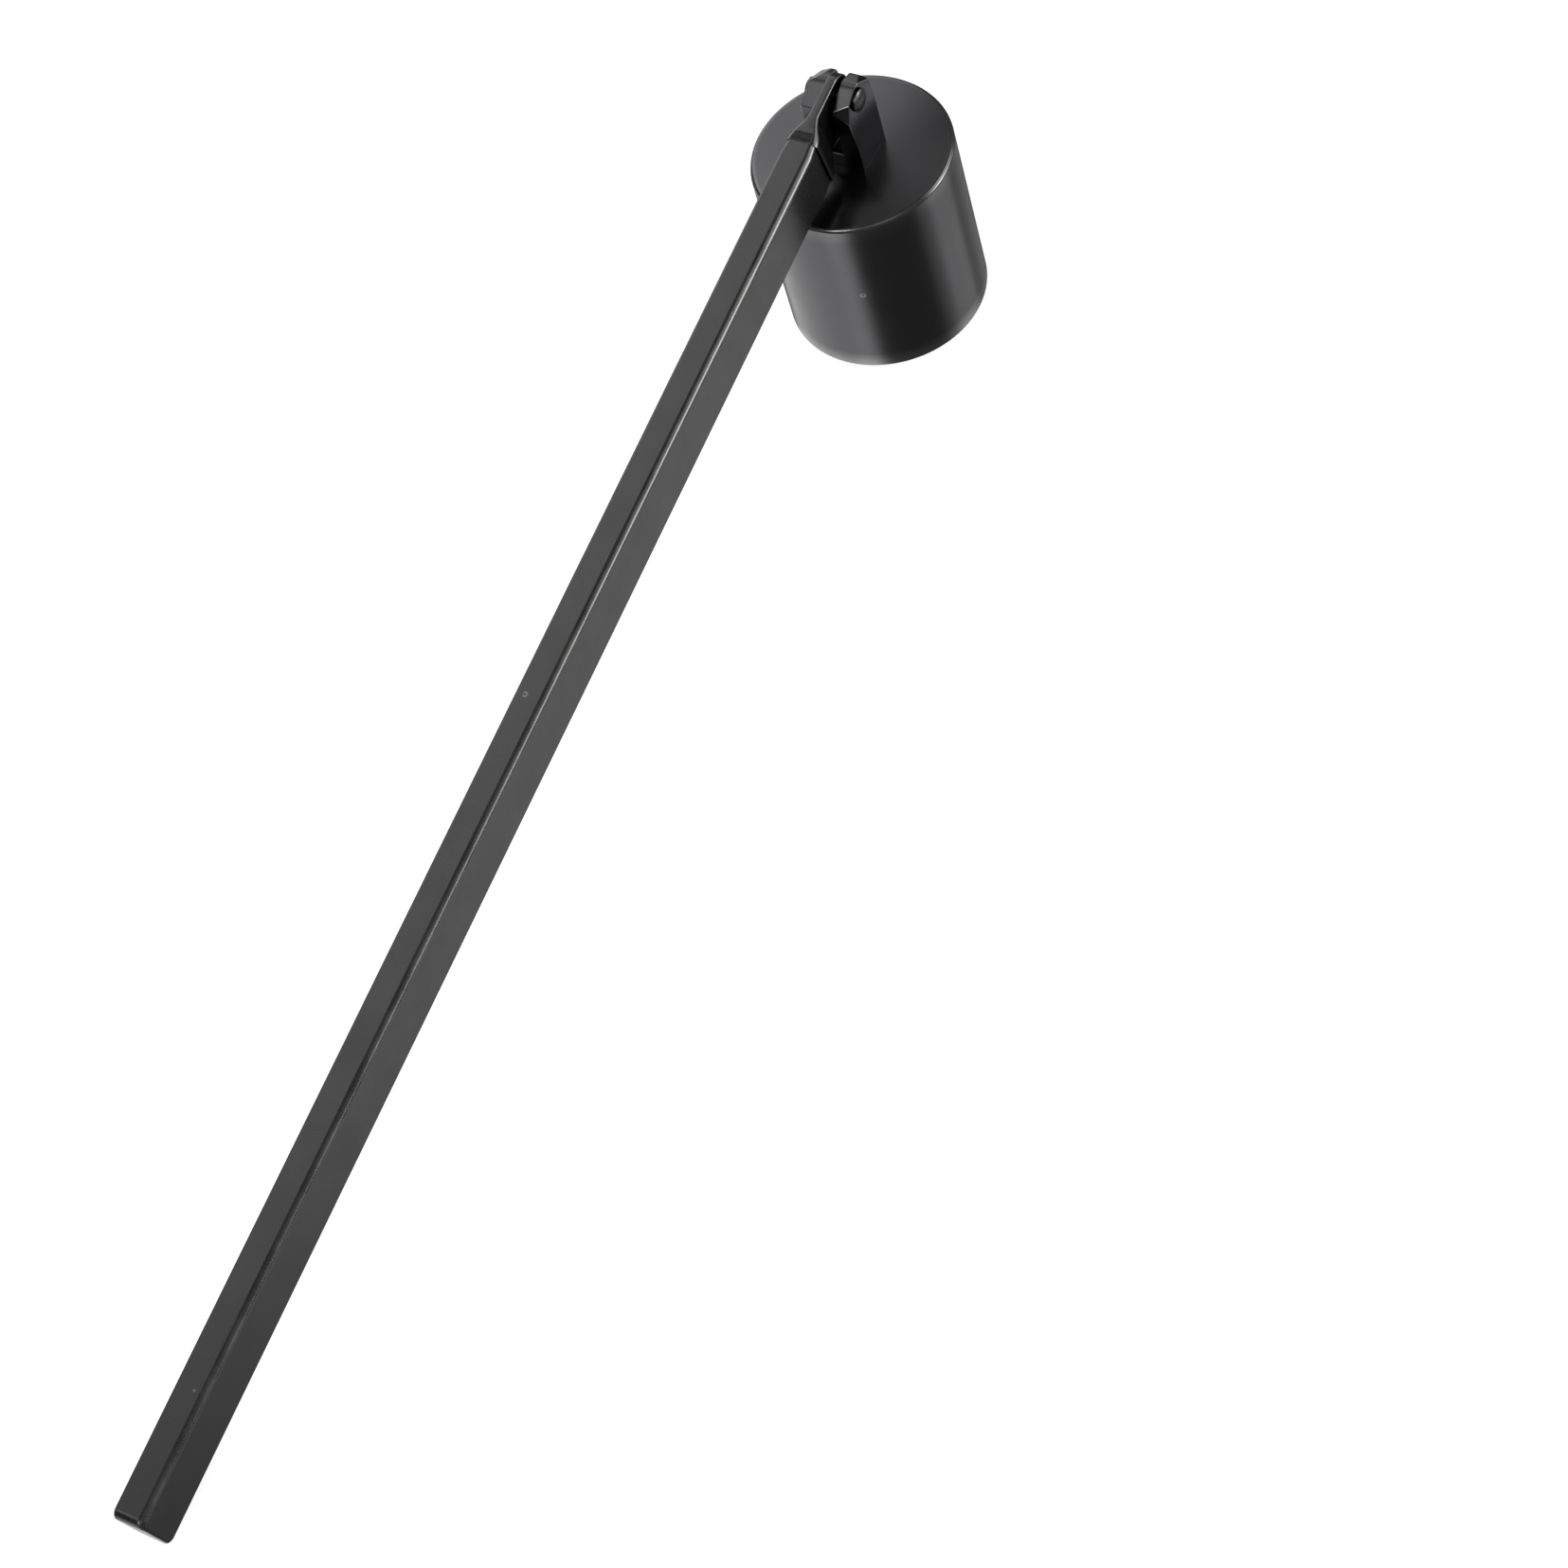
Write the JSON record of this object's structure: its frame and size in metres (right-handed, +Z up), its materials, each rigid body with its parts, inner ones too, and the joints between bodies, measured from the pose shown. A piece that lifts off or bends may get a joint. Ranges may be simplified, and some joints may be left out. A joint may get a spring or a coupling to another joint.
{
  "type": "candle snuffer",
  "caption": "Candle snuffer: a small cylindrical cup with a slotted post, hinged by a rivet to a long flat bar handle, in a dark satin plated finish.",
  "frame": {"origin": "middle of the footprint of the whole object, on the surface the cup stands on", "axes": "+Z up along the cup's own axis; the handle runs from the hinge towards -Y and down to the surface; +X along the hinge rivet"},
  "size_m": [0.032, 0.2468, 0.0484],
  "materials": {
    "dark_plated_steel": "satin black-nickel plate over steel, softly mirrored, brighter where edges are worn",
    "rivet_steel": "dark plate cracked off the hammered heads, bare steel showing in flecks",
    "zinc_hardware": "dull zinc plate"
  },
  "bodies": {
    "handle": {"handle_bar": "dark_plated_steel"},
    "bell": {"bell_cup": "dark_plated_steel", "clevis_post": "dark_plated_steel", "pivot_rivet": "rivet_steel", "stud_washer": "zinc_hardware", "stud_nut": "zinc_hardware"}
  },
  "joints": [
    {"name": "bell_swing", "type": "hinge", "parent": "handle", "child": "bell", "pos_m": [0, 0.10735, 0.0452], "axis": [1, 0, 0], "range_deg": [-9, 218]}
  ]
}
